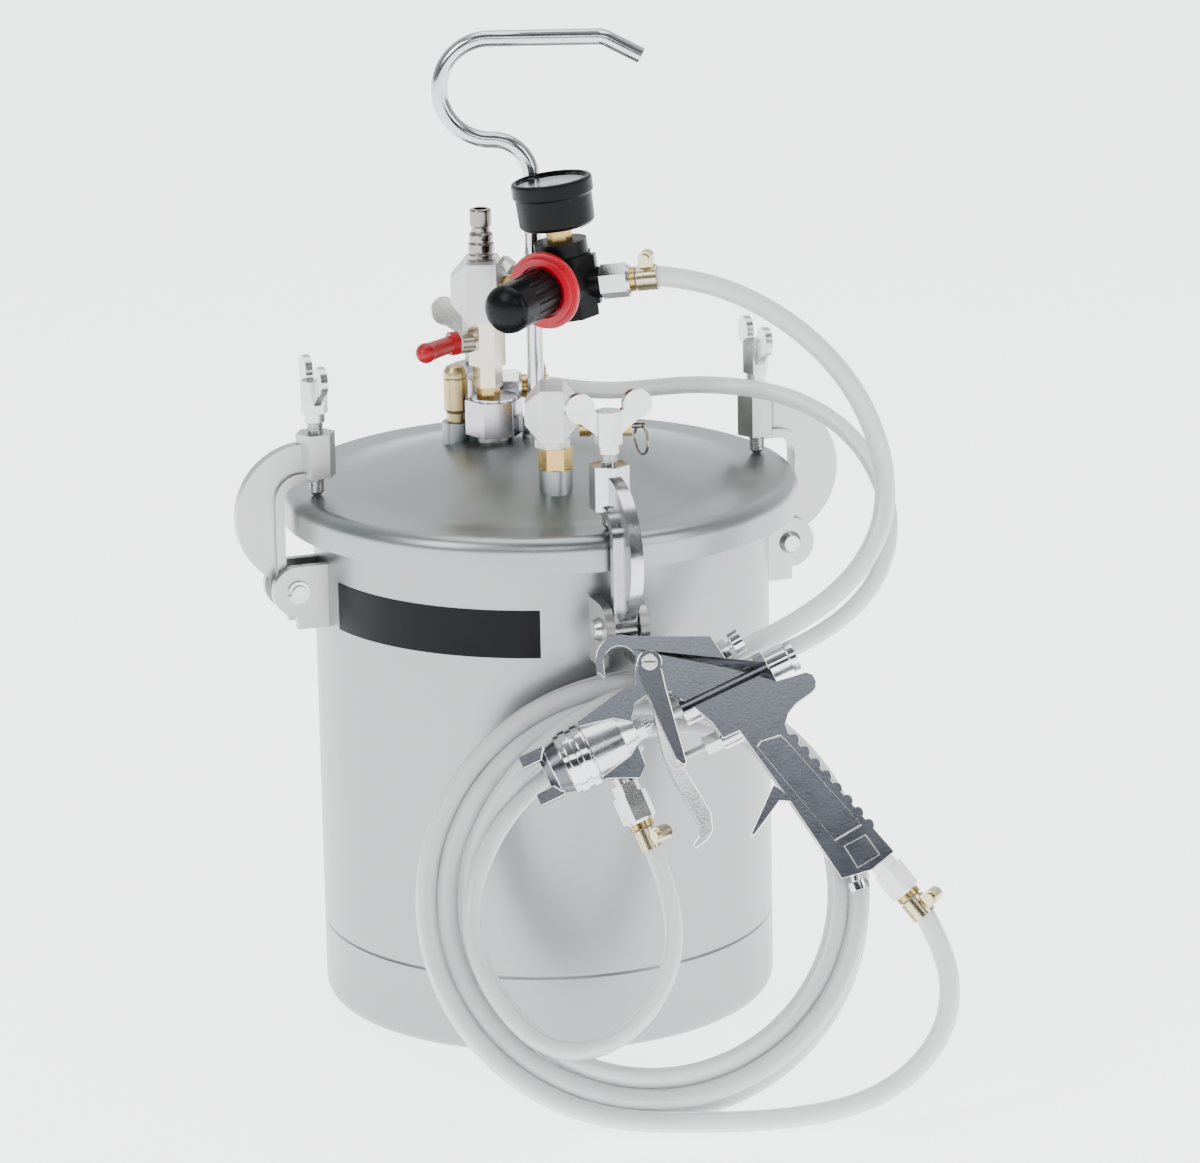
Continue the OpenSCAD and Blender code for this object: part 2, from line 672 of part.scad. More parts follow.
// Side view of the casting: hook, body, horn and grip, in the gun's plane
module gun_outline() {
    difference() {
        union() {
            polygon([[-8, 127.8], [35, 127.1], [46, 110], [62, 116.2], [69, 103], [84.3, 107.2], [87.8, 106],
                [89.6, 102.5], [89.2, 99], [87, 96.4], [79, 91], [74.6, 86], [73, 80.5], [74.5, 76], [128, 13.2],
                [116, 3.8], [100.5, -0.5], [75, 39.5], [49, 77.4], [40.5, 73.7], [35, 81.7], [27, 88.8],
                [14, 98.2], [2, 97.3], [-5, 92.6], [-7, 85], [-3, 68.9], [0, 60.4], [-3, 53.8],
                [-20, 53.8], [-27, 51], [-38, 81.7], [-5, 104.8]]);
            translate([-12, 115.7]) circle(r = 13);
            translate([-24.5, 108.6]) square([5, 8]);
        }
        translate([-12.5, 114.3]) circle(r = 8.5);
        translate([-20.5, 102]) square([16, 12.3]);
    }
    for (i = [0:7]) translate([77 + 5.4 * i, 72 - 6.4 * i]) circle(r = 3.2, $fn = 24);
    polygon([[66, 49.1], [53.5, 22.7], [56, 23.6], [69, 40.6], [78, 39.7]]);
}

module gun_body() {
    color("slategray") difference() {
        union() {
            in_gun() translate([0, 0, -9]) linear_extrude(18) gun_outline();
            in_barrel() translate([0, 0, 12.3]) cylinder(r1 = 17, r2 = 14, h = 18);
            in_barrel() translate([0, 0, 30.3]) cylinder(r1 = 14, r2 = 10, h = 8);
            in_barrel() translate([0, 0, 64]) cylinder(r = 9.3, h = barrel_end - 64);
            in_barrel() translate([0, -air_stem_drop, 76]) cylinder(r = 6, h = 20);
        }
        in_barrel() translate([0, 0, -12]) cylinder(r = 22, h = 24.3);
        in_barrel() translate([0, 0, barrel_end]) cylinder(r = 9, h = 6);
        in_barrel() translate([0, 0, -20]) cylinder(r = 3 + gap, h = 160);
        in_barrel() translate([0, 0, 12]) cylinder(r = 5, h = 10);
        in_barrel() translate([0, 0, barrel_end - 10]) cylinder(r = 5 + fit, h = 12);
        in_gun() translate([trigger_at.x, trigger_at.y, -15]) cylinder(r = 3, h = 30);
        in_barrel() translate([0, -air_stem_drop, 60]) cylinder(r = 2 + fit, h = 35);
        aim(gun_point(BASE_KNOB), gun_dir(base_knob_a)) translate([0, 0, -8]) cylinder(r = 3 + fit, h = 9);
    }
}

module trigger_side() {
    translate(trigger_at) circle(r = 6.5);
    polygon([[-3.5, 112.4], [-2.5, 106.4], [1.3, 98.3], [4.3, 90.3], [10.4, 75.8], [15.7, 63], [19.6, 59.7],
        [21.4, 61.3], [17.6, 75.7], [13.9, 90.1], [11.5, 99.7], [9.2, 110.5]]);
}

// Front strip of the trigger and its curled tip
module trigger_strip() {
    polygon([[3.6, 92.6], [6, 78], [9, 65], [14, 52.7], [19.6, 43], [27.5, 28.5], [27, 23.1], [23.5, 18.4],
        [25, 16.5], [31, 20.8], [34.3, 26], [33.4, 35], [27.5, 46], [22, 55], [17, 62], [13, 71.8], [6.8, 92.6]]);
}

module gun_trigger() {
    color("slategray") in_gun() difference() {
        union() {
            for (z = [trigger_inner, -trigger_inner - 2]) translate([0, 0, z]) linear_extrude(2) trigger_side();
            translate([0, 0, -trigger_inner]) linear_extrude(2 * trigger_inner) trigger_strip();
        }
        translate([trigger_at.x, trigger_at.y, -15]) cylinder(r = 3 + fit, h = 30);
        translate(cap_at) rotate([0, 0, barrel_a]) rotate([0, 90, 0]) translate([0, 0, 44]) cylinder(r = 3.6, h = 20);
    }
}

module trigger_screw() {
    color("silver") in_gun() translate([trigger_at.x, trigger_at.y, 0]) {
        translate([0, 0, -trigger_inner - 2.4]) cylinder(r = 3, h = 2 * trigger_inner + 4.8);
        translate([0, 0, trigger_inner + 2.4]) cylinder(r1 = 5, r2 = 4, h = 1.8);
        translate([0, 0, -trigger_inner - 4.2]) cylinder(r1 = 4, r2 = 5, h = 1.8);
    }
}

module fluid_needle() {
    color("silver") in_barrel() {
        translate([0, 0, -14]) cylinder(r1 = 0.4, r2 = 1.5, h = 6);
        translate([0, 0, -8]) cylinder(r = 1.5, h = 124);
        translate([0, 0, 55.5]) cylinder(r = 4.4, h = 3.5);
        translate([0, 0, 59]) cylinder(r = 2.8, h = 20);
    }
}

module air_valve_stem() {
    color("silver") in_barrel() translate([0, -air_stem_drop, 54.2]) cylinder(r = 2, h = 30);
}

// Gland nuts and the threaded ends of the two hose connections
module gun_fittings() {
    color("silver") difference() {
        union() {
            in_barrel() translate([0, -air_stem_drop, 67]) hex_rod(10, 9);
            in_barrel() translate([0, 0, 38.3]) hex_rod(11, 5);
            in_barrel() translate([0, 0, 38.3]) cylinder(r = 4, h = 8);
            in_gun() translate(FAN_KNOB) rotate([0, 0, fan_knob_a]) rotate([0, 90, 0]) hex_rod(10, 4.5);
            aim(GUN_FLUID_END[0] - 12 * GUN_FLUID_END[1], GUN_FLUID_END[1]) cylinder(r = 5, h = 12);
            aim(GUN_FLUID_END[0] - 6 * GUN_FLUID_END[1], GUN_FLUID_END[1]) hex_rod(13, 6);
            aim(GUN_AIR_END[0] - 9 * GUN_AIR_END[1], GUN_AIR_END[1]) cylinder(r = 5.5, h = 9);
            aim(GUN_AIR_END[0] - 4.5 * GUN_AIR_END[1], GUN_AIR_END[1]) hex_rod(13, 4.5);
        }
        gun_body();
        in_barrel() translate([0, 0, -5]) cylinder(r = 18.5, h = 17.3);
        in_barrel() translate([0, 0, 30]) cylinder(r = 1.5 + gap, h = 20);
        in_barrel() translate([0, -air_stem_drop, 60]) cylinder(r = 2 + fit, h = 20);
        in_gun() translate(FAN_KNOB) rotate([0, 0, fan_knob_a]) rotate([0, 90, 0]) cylinder(r = 2.5 + fit, h = 5);
    }
}

module fluid_nozzle() {
    color("silver") in_barrel() difference() {
        union() {
            translate([0, 0, -12]) cylinder(r1 = 1.9, r2 = 4.5, h = 8);
            translate([0, 0, -4]) cylinder(r = 4.5, h = 10);
            translate([0, 0, 2]) hex_rod(12, 4);
            translate([0, 0, 6]) cylinder(r = 5, h = 16);
        }
        translate([0, 0, -20]) cylinder(r = 1.5 + gap, h = 50);
    }
}

module air_cap() {
    color("silver") in_barrel() difference() {
        union() {
            translate([0, 0, -14]) cylinder(r1 = 7, r2 = 12.5, h = 4);
            translate([0, 0, -10]) cylinder(r1 = 12.5, r2 = 14.5, h = 7);
            for (side = [90, 270]) rotate([0, 0, side]) translate([7.5, -5, -23]) cube([6.5, 10, 14]);
        }
        translate([0, 0, -9.5]) cylinder(r = 5.5, h = 20);
        translate([0, 0, -25]) cylinder(r = 3.4, h = 40);
    }
}

module air_cap_ring() {
    color("silver") in_barrel() difference() {
        union() {
            translate([0, 0, -3]) cylinder(r = 16.6, h = 15);
            cylinder(r = 17.6, h = 4);
            translate([0, 0, 7]) cylinder(r = 17.6, h = 4);
        }
        translate([0, 0, -2]) cylinder(r = 13, h = 20);
        translate([0, 0, -4]) cylinder(r = 12, h = 6);
    }
}

module fan_knob() {
    color("silver") in_gun() translate(FAN_KNOB) rotate([0, 0, fan_knob_a]) rotate([0, 90, 0]) {
        translate([0, 0, gap]) cylinder(r = 2.5, h = 10);
        translate([0, 0, 7]) cylinder(r = 6.2, h = 6);
    }
}

module fluid_knob() {
    color("silver") in_barrel() translate([0, 0, barrel_end]) difference() {
        union() {
            translate([0, 0, -9]) cylinder(r = 5, h = 10);
            translate([0, 0, gap]) cylinder(r = 6.8, h = 15);
            translate([0, 0, 12]) cylinder(r = 8, h = 4);
        }
        translate([0, 0, -10]) cylinder(r = 3.2, h = 22);
    }
}

module base_knob() {
    color("silver") aim(gun_point(BASE_KNOB), gun_dir(base_knob_a)) {
        translate([0, 0, -7]) cylinder(r = 3, h = 12);
        translate([0, 0, 3]) cylinder(r = 5.6, h = 5);
    }
}

// ---------------------------------------------------------------- nodes

tank_body();
lid();
lid_gasket();
name_plate();
clamp_lugs();
pivot_pins();
clamp_arm(3);  // arm_front
clamp_arm(0);  // arm_right
clamp_arm(1);  // arm_back
clamp_arm(2);  // arm_left
clamp_stud(3);  // stud_front
clamp_stud(0);  // stud_right
clamp_stud(1);  // stud_back
clamp_stud(2);  // stud_left
wing_head(3);  // wing_front
wing_head(0);  // wing_right
wing_head(1);  // wing_back
wing_head(2);  // wing_left
hook_rod();
hook_nut();
safety_valve();
inlet_adaptor();
brass_nipples();
ball_valve();
valve_ball();
valve_lever();
manifold();
quick_plug();
regulator_body();
regulator_ring();
regulator_knob();
gauge_case();
gauge_dial();
gauge_lens();
gauge_needle();
relief_tee();
relief_valve();
relief_ring();
fluid_outlet();
pickup_tube();
swivel_nuts();
hose_barbs();
hose_clamps();
air_hose_run();
air_hose_tail();
fluid_hose_run();
fluid_hose_tail();
hose_coil();
gun_body();
gun_trigger();
trigger_screw();
fluid_needle();
air_valve_stem();
air_cap();
air_cap_ring();
fluid_nozzle();
fan_knob();
fluid_knob();
base_knob();
gun_fittings();
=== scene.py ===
"""Paint pressure pot with its spray gun and two clear hoses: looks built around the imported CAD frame."""
import json
import math

import bpy
from mathutils import Matrix, Quaternion, Vector


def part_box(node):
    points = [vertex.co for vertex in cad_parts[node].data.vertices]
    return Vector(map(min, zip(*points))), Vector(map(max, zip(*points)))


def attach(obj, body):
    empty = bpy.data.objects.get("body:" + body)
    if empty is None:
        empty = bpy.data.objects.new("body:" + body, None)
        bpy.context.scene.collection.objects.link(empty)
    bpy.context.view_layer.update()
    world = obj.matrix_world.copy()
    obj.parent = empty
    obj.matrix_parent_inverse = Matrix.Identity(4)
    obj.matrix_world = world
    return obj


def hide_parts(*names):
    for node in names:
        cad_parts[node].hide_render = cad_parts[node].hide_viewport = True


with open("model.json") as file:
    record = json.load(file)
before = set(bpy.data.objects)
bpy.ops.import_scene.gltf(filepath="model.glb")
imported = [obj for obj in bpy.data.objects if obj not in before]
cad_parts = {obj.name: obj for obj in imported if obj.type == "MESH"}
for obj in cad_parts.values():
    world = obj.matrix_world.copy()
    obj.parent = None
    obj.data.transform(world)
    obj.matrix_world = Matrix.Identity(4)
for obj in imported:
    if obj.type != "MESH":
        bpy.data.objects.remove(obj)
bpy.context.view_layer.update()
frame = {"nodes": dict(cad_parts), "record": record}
NODES = frame["nodes"]
NODE_BODY = {n: b for b, names in frame["record"]["behaviour"]["bodies"].items() for n in names}
MM = 0.001
AIR_D, AIR_BORE = 11 * MM, 7.5 * MM
FLUID_D, FLUID_BORE = 9.5 * MM, 6.5 * MM

# ---------------------------------------------------------------- camera
CAMERA_AT = Vector((0.032, -2.950, 1.0436))
CAMERA_AIM = Vector((0.032, 0.0, 0.231))
CAMERA_LENS = 166.7
CAMERA_ROLL = -1.07


def make_camera():
    data = bpy.data.cameras.new("camera")
    data.lens = CAMERA_LENS
    data.sensor_width = 36
    cam = bpy.data.objects.new("camera", data)
    bpy.context.collection.objects.link(cam)
    cam.location = CAMERA_AT
    aim = (CAMERA_AIM - CAMERA_AT).to_track_quat("-Z", "Y")
    cam.rotation_euler = (aim @ Quaternion((0, 0, 1), math.radians(CAMERA_ROLL))).to_euler()
    bpy.context.scene.camera = cam


make_camera()


# ---------------------------------------------------------------- node tools
class Tree:
    """A material's node tree, with short calls for the nodes that this script uses."""

    def __init__(self, name):
        self.mat = bpy.data.materials.new(name)
        self.mat.use_nodes = True
        self.nodes = self.mat.node_tree.nodes
        self.links = self.mat.node_tree.links
        self.bsdf = self.nodes["Principled BSDF"]
        self.coord = self.nodes.new("ShaderNodeTexCoord").outputs["Object"]

    def link(self, a, b):
        self.links.new(a, b)

    def stretch(self, scale):
        n = self.nodes.new("ShaderNodeMapping")
        n.inputs["Scale"].default_value = scale
        self.link(self.coord, n.inputs["Vector"])
        return n.outputs["Vector"]

    def noise(self, scale, detail=4, rough=0.55, stretch=None):
        n = self.nodes.new("ShaderNodeTexNoise")
        n.inputs["Scale"].default_value = scale
        n.inputs["Detail"].default_value = detail
        n.inputs["Roughness"].default_value = rough
        self.link(self.stretch(stretch) if stretch else self.coord, n.inputs["Vector"])
        return n.outputs["Fac"]

    def ramp(self, fac, stops):
        n = self.nodes.new("ShaderNodeValToRGB")
        els = n.color_ramp.elements
        while len(els) < len(stops):
            els.new(0.5)
        for el, (pos, colour) in zip(els, stops):
            el.position = pos
            el.color = (*colour, 1)
        self.link(fac, n.inputs["Fac"])
        return n.outputs["Color"]

    def span(self, fac, low, high, start=0.3, end=0.7):
        n = self.nodes.new("ShaderNodeMapRange")
        for key, v in (("From Min", start), ("From Max", end), ("To Min", low), ("To Max", high)):
            n.inputs[key].default_value = v
        self.link(fac, n.inputs["Value"])
        return n.outputs["Result"]

    def maths(self, op, a, b):
        n = self.nodes.new("ShaderNodeMath")
        n.operation = op
        for i, v in enumerate((a, b)):
            if isinstance(v, (int, float)):
                n.inputs[i].default_value = v
            else:
                self.link(v, n.inputs[i])
        return n.outputs["Value"]

    def bump(self, height, distance, strength=1.0):
        n = self.nodes.new("ShaderNodeBump")
        n.inputs["Distance"].default_value = distance
        n.inputs["Strength"].default_value = strength
        self.link(height, n.inputs["Height"])
        self.link(n.outputs["Normal"], self.bsdf.inputs["Normal"])

    def put(self, **values):
        for key, v in values.items():
            self.bsdf.inputs[key.replace("_", " ")].default_value = v


GUN_NORMAL = (0.0, -0.9304, 0.3665)
GUN_ORIGIN = (0.054, -0.207, 0.1254)


def painted_light_casting(name, flat, bright, low, high):
    """Chrome casting with painted light: a darker painted reflection on faces across the gun's plane between
    two heights, low and high, from it, and a lighter painted highlight on the rest.
    """
    t = Tree(name)
    normal = t.nodes.new("ShaderNodeVectorMath")
    normal.operation = "DOT_PRODUCT"
    normal.inputs[1].default_value = GUN_NORMAL
    t.link(t.nodes["Texture Coordinate"].outputs["Normal"], normal.inputs[0])
    facing = t.span(t.maths("ABSOLUTE", normal.outputs["Value"], 0), 0, 1, 0.90, 0.98)
    offset = t.nodes.new("ShaderNodeVectorMath")
    offset.operation = "SUBTRACT"
    offset.inputs[1].default_value = GUN_ORIGIN
    t.link(t.coord, offset.inputs[0])
    height = t.nodes.new("ShaderNodeVectorMath")
    height.operation = "DOT_PRODUCT"
    height.inputs[1].default_value = GUN_NORMAL
    t.link(offset.outputs["Vector"], height.inputs[0])
    away = t.maths("ABSOLUTE", height.outputs["Value"], 0)
    inside = t.maths("MULTIPLY", t.maths("LESS_THAN", away, high), t.maths("GREATER_THAN", away, low))
    # painted shade: faces across the gun's plane, inside the band, take the darker colour as a painted dark
    # reflection
    painted_shade_mask = t.maths("MULTIPLY", facing, inside)
    fine = t.noise(700, 5, 0.6)
    broad = t.noise(45, 3)
    # two painted tones of the one chrome: the lit one (bright) and the shaded one (flat)
    painted_light_tones = []
    for colour in (bright, flat):
        painted_light_tones.append(t.ramp(t.maths("ADD", t.maths("MULTIPLY", broad, 0.7), t.maths("MULTIPLY", fine, 0.3)),
                            [(0.34, shade(colour, 0.82)), (0.5, colour), (0.66, shade(colour, 1.12))]))
    mix = t.nodes.new("ShaderNodeMix")
    mix.data_type = "RGBA"
    t.link(painted_shade_mask, mix.inputs["Factor"])
    t.link(painted_light_tones[0], mix.inputs[6])
    t.link(painted_light_tones[1], mix.inputs[7])
    t.link(mix.outputs[2], t.bsdf.inputs["Base Color"])
    t.link(t.span(broad, 0.15, 0.24), t.bsdf.inputs["Roughness"])
    t.bump(fine, 0.00004)
    t.put(Metallic=1.0)
    return t.mat


def shade(c, k):
    return tuple(min(1.0, x * k) for x in c)


def surface(name, colour, rough, metallic=0.0, patch=30, vary=0.12, grain=900, bump=0.00004,
            rough_vary=0.25, stretch=None, **values):
    """A finish with broad colour patches, fine grain, uneven gloss and a slight relief."""
    t = Tree(name)
    broad = t.noise(patch, 3)
    fine = t.noise(grain, 5, 0.6, stretch)
    mixed = t.maths("ADD", t.maths("MULTIPLY", broad, 0.65), t.maths("MULTIPLY", fine, 0.35))
    t.link(t.ramp(mixed, [(0.32, shade(colour, 1 - vary)), (0.5, colour),
                          (0.68, shade(colour, 1 + vary * 0.6))]), t.bsdf.inputs["Base Color"])
    t.link(t.span(mixed, rough * (1 - rough_vary), rough * (1 + rough_vary)), t.bsdf.inputs["Roughness"])
    if bump:
        t.bump(fine, bump)
    t.put(Metallic=metallic, **values)
    return t.mat


# ---------------------------------------------------------------- materials
def make_materials():
    m = {}
    m["pot_steel"] = surface("pot_steel", (0.300, 0.314, 0.314), 0.34, 1, patch=14, vary=0.05, grain=1400,
                             bump=0.00002, rough_vary=0.10)
    m["lid_steel"] = surface("lid_steel", (0.29, 0.315, 0.31), 0.34, 1, patch=16, vary=0.08, grain=900,
                             bump=0.00003, rough_vary=0.18)
    m["cast_steel"] = surface("cast_steel", (0.44, 0.45, 0.435), 0.34, 1, patch=60, vary=0.10, grain=1100,
                              bump=0.00007, rough_vary=0.2)
    # painted highlight: a lighter, glossier copy of the cast steel, for the clamp arm at the front
    m["cast_painted_highlight"] = surface("cast_painted_highlight", (0.52, 0.53, 0.535), 0.17, 1, patch=70, vary=0.14, grain=700,
                               bump=0.00005)
    m["zinc"] = surface("zinc", (0.56, 0.57, 0.56), 0.22, 1, patch=90, vary=0.12, grain=1500,
                        bump=0.00004)
    m["stud_steel"] = surface("stud_steel", (0.42, 0.42, 0.42), 0.22, 1, patch=150, vary=0.15, grain=1600,
                              bump=0.00003)
    m["rod_steel"] = surface("rod_steel", (0.50, 0.51, 0.525), 0.15, 1, patch=40, vary=0.08, grain=1300,
                             bump=0.00002)
    m["gasket"] = surface("gasket", (0.035, 0.035, 0.036), 0.62, 0, patch=90, vary=0.3, grain=1200,
                          bump=0.00008)
    m["plate_black"] = surface("plate_black", (0.0035, 0.0035, 0.004), 0.42, 0,
                               Specular_IOR_Level=0.12, patch=60, vary=0.3,
                               grain=1500, bump=0.00001)
    m["brass"] = surface("brass", (0.50, 0.34, 0.12), 0.26, 1, patch=110, vary=0.18, grain=1300,
                         bump=0.00004)
    m["dull_brass"] = surface("dull_brass", (0.50, 0.40, 0.21), 0.34, 1, patch=90, vary=0.16, grain=1300,
                              bump=0.00006)
    m["chrome"] = surface("chrome", (0.44, 0.42, 0.47), 0.14, 1, patch=80, vary=0.12, grain=1200,
                          bump=0.00002)
    m["nickel"] = surface("nickel", (0.58, 0.53, 0.44), 0.22, 1, patch=90, vary=0.10, grain=1300,
                          bump=0.00003)
    m["dark_nickel"] = surface("dark_nickel", (0.26, 0.245, 0.225), 0.22, 1, patch=120, vary=0.2,
                               grain=1400,
                               bump=0.00003)
    m["satin_nickel"] = surface("satin_nickel", (0.60, 0.60, 0.59), 0.34, 0.6, patch=60, vary=0.05,
                                grain=1100, bump=0.00005)
    m["lever_red"] = surface("lever_red", (0.36, 0.004, 0.009), 0.34, 0, Specular_IOR_Level=0.35,
                             patch=120, vary=0.2, grain=1200,
                             bump=0.00005)
    m["black_paint"] = surface("black_paint", (0.0035, 0.0035, 0.004), 0.34, 0,
                               Specular_IOR_Level=0.12, patch=90, vary=0.4, grain=900,
                               bump=0.00008)
    m["knob_black"] = surface("knob_black", (0.0035, 0.0035, 0.004), 0.30, 0, Specular_IOR_Level=0.12,
                              patch=100, vary=0.4, grain=1100,
                              bump=0.00004)
    m["ring_red"] = surface("ring_red", (0.44, 0.003, 0.018), 0.30, 0, Specular_IOR_Level=0.35,
                            patch=120, vary=0.15, grain=1100,
                            bump=0.00003)
    m["dial_white"] = surface("dial_white", (0.78, 0.78, 0.76), 0.5, 0, patch=120, vary=0.03, grain=1500,
                              bump=0)
    m["needle_black"] = surface("needle_black", (0.012, 0.012, 0.012), 0.4, 0, patch=150, vary=0.3,
                                grain=1500, bump=0)
    m["yellow_zinc"] = surface("yellow_zinc", (0.58, 0.51, 0.34), 0.22, 1, patch=130, vary=0.2, grain=1400,
                               bump=0.00003)
    # gun and trigger chrome with painted light: the first colour is a painted dark reflection on the flat
    # faces, the second a painted highlight elsewhere
    m["gun_chrome"] = painted_light_casting("gun_chrome", (0.112, 0.120, 0.140), (0.60, 0.61, 0.63), -1, 0.0094)
    m["trigger_chrome_painted_light"] = painted_light_casting("trigger_chrome_painted_light", (0.075, 0.080, 0.092), (0.66, 0.67, 0.68), 0.0105, 0.03)
    # painted highlight: a near-white chrome for the gun's bevelled edges and the grip's raised borders
    m["gun_edge_painted_highlight"] = surface("gun_edge_painted_highlight", (0.82, 0.83, 0.84), 0.16, 1, patch=60, vary=0.06, grain=900,
                            bump=0.00003)
    # painted highlight: a lighter copy of the gun's chrome, for the air cap's edges, its ring and the knobs
    m["gun_bright_painted_highlight"] = surface("gun_bright_painted_highlight", (0.70, 0.71, 0.73), 0.13, 1, patch=60, vary=0.10, grain=900,
                              bump=0.00002)
    # painted shade: a dark copy of the gun's chrome, a painted dark reflection on the air cap and the shade in
    # the screw slots
    m["gun_dark_painted_shade"] = surface("gun_dark_painted_shade", (0.12, 0.125, 0.14), 0.26, 1, patch=90, vary=0.2, grain=1100,
                            bump=0.00006)
    m["hose_clear"] = surface("hose_clear", (0.90, 0.91, 0.91), 0.20, 0, patch=25, vary=0.03, grain=220,
                              bump=0.00003, Transmission_Weight=0.55, IOR=1.33, Coat_Weight=0.35,
                              Coat_Roughness=0.06)
    m["lens"] = surface("lens", (0.95, 0.96, 0.96), 0.05, 0, patch=60, vary=0.01, grain=300, bump=0,
                        Transmission_Weight=1.0, IOR=1.3)
    m["mark_black"] = surface("mark_black", (0.02, 0.02, 0.02), 0.5, 0, patch=200, vary=0.2, grain=1500,
                              bump=0)
    m["floor"] = surface("floor", (0.86, 0.865, 0.87), 0.55, 0, patch=3, vary=0.01, grain=60, bump=0,
                         Emission_Color=(0.95, 0.97, 0.98, 1), Emission_Strength=2.9)
    return m


MATS = make_materials()


# ---------------------------------------------------------------- pieces
def add_mesh(name, verts, faces, body, material, smooth=True):
    mesh = bpy.data.meshes.new(name)
    mesh.from_pydata([tuple(v) for v in verts], [], faces)
    mesh.validate()
    for p in mesh.polygons:
        p.use_smooth = smooth
    obj = bpy.data.objects.new(name, mesh)
    bpy.context.collection.objects.link(obj)
    mesh.materials.append(MATS[material])
    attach(obj, body)
    return obj


def smooth_line(points, step):
    """Points every step along a Catmull-Rom curve through the given points."""
    pts = [Vector(p) for p in points]
    pts = [pts[0] * 2 - pts[1], *pts, pts[-1] * 2 - pts[-2]]
    dense = []
    for i in range(1, len(pts) - 2):
        p0, p1, p2, p3 = pts[i - 1:i + 3]
        t0, t1 = 0.0, (p1 - p0).length ** 0.5
        t2 = t1 + (p2 - p1).length ** 0.5
        t3 = t2 + (p3 - p2).length ** 0.5
        for k in range(24):
            t = t1 + (t2 - t1) * k / 24
            a1 = p0 * ((t1 - t) / (t1 - t0)) + p1 * ((t - t0) / (t1 - t0))
            a2 = p1 * ((t2 - t) / (t2 - t1)) + p2 * ((t - t1) / (t2 - t1))
            a3 = p2 * ((t3 - t) / (t3 - t2)) + p3 * ((t - t2) / (t3 - t2))
            b1 = a1 * ((t2 - t) / (t2 - t0)) + a2 * ((t - t0) / (t2 - t0))
            b2 = a2 * ((t3 - t) / (t3 - t1)) + a3 * ((t - t1) / (t3 - t1))
            dense.append(b1 * ((t2 - t) / (t2 - t1)) + b2 * ((t - t1) / (t2 - t1)))
    dense.append(pts[-2])
    total = sum((b - a).length for a, b in zip(dense, dense[1:]))
    n = max(2, round(total / step))
    out, gone, i = [dense[0]], 0.0, 0
    for k in range(1, n):
        want = total * k / n
        while gone + (dense[i + 1] - dense[i]).length < want:
            gone += (dense[i + 1] - dense[i]).length
            i += 1
        seg = dense[i + 1] - dense[i]
        out.append(dense[i] + seg * ((want - gone) / max(seg.length, 1e-9)))
    out.append(dense[-1])
    return out, total


def frames(line):
    """A direction and two normals at each point, carried along without twist."""
    out = []
    side = None
    for i, p in enumerate(line):
        d = (line[min(i + 1, len(line) - 1)] - line[max(i - 1, 0)]).normalized()
        if side is None:
            side = d.orthogonal().normalized()
        side = (side - d * side.dot(d)).normalized()
        out.append((p, side, d.cross(side)))
    return out


def pipe(line, r_out, r_in, sides):
    """A thick-walled tube along the line: outer wall, bore and two end rings."""
    rings = frames(line)
    verts, faces = [], []
    for r in (r_out, r_in):
        for p, a, b in rings:
            for k in range(sides):
                t = 2 * math.pi * k / sides
                verts.append(p + a * (r * math.cos(t)) + b * (r * math.sin(t)))
    n = len(rings)
    base = n * sides
    for i in range(n - 1):
        for k in range(sides):
            j = (k + 1) % sides
            a, b, c, d = i * sides + k, i * sides + j, (i + 1) * sides + j, (i + 1) * sides + k
            faces.append((a, b, c, d))
            faces.append((base + a, base + d, base + c, base + b))
    for i, flip in ((0, True), (n - 1, False)):
        for k in range(sides):
            j = (k + 1) % sides
            a, b = i * sides + k, i * sides + j
            quad = (a, b, base + b, base + a)
            faces.append(quad[::-1] if flip else quad)
    return verts, faces


# ---------------------------------------------------------------- hoses
COIL_AT = (54, -190, 111.5)
COIL_LEAN = math.radians(60.5)
COIL_R = 108


def ring_point(u, w, phi):
    """A point of the coil, in mm: u outwards from the middle of the bundle, w across it."""
    x = (COIL_R + u) * math.cos(math.radians(phi))
    y = (COIL_R + u) * math.sin(math.radians(phi))
    c, s = math.cos(COIL_LEAN), math.sin(COIL_LEAN)
    return (COIL_AT[0] + x, COIL_AT[1] + y * c - w * s, COIL_AT[2] + y * s + w * c)


def ease(t):
    t = min(1.0, max(0.0, t))
    return t * t * (3 - 2 * t)


def along(keys, phi):
    """Eased value between (angle, value) keys."""
    for (a, va), (b, vb) in zip(keys, keys[1:]):
        if phi <= b:
            return va + (vb - va) * ease((phi - a) / (b - a))
    return keys[-1][1]


def aimed(start, direction, s):
    return tuple(start[i] + direction[i] * s for i in range(3))


REG_START = (36.28, -28.66, 405.91)
REG_DIR = (0.9708, -0.2079, 0.1192)
POT_START = (-25, 27, 336)
POT_DIR = (1, 0, 0)
GUN_FLUID_START = (45, -190.21, 168.01)
GUN_FLUID_DIR = (0.3827, -0.3386, -0.8596)
GUN_AIR_START = (178.6, -205.31, 129.68)
GUN_AIR_DIR = (0.6088, -0.2908, -0.7381)
HOSE_START = 19

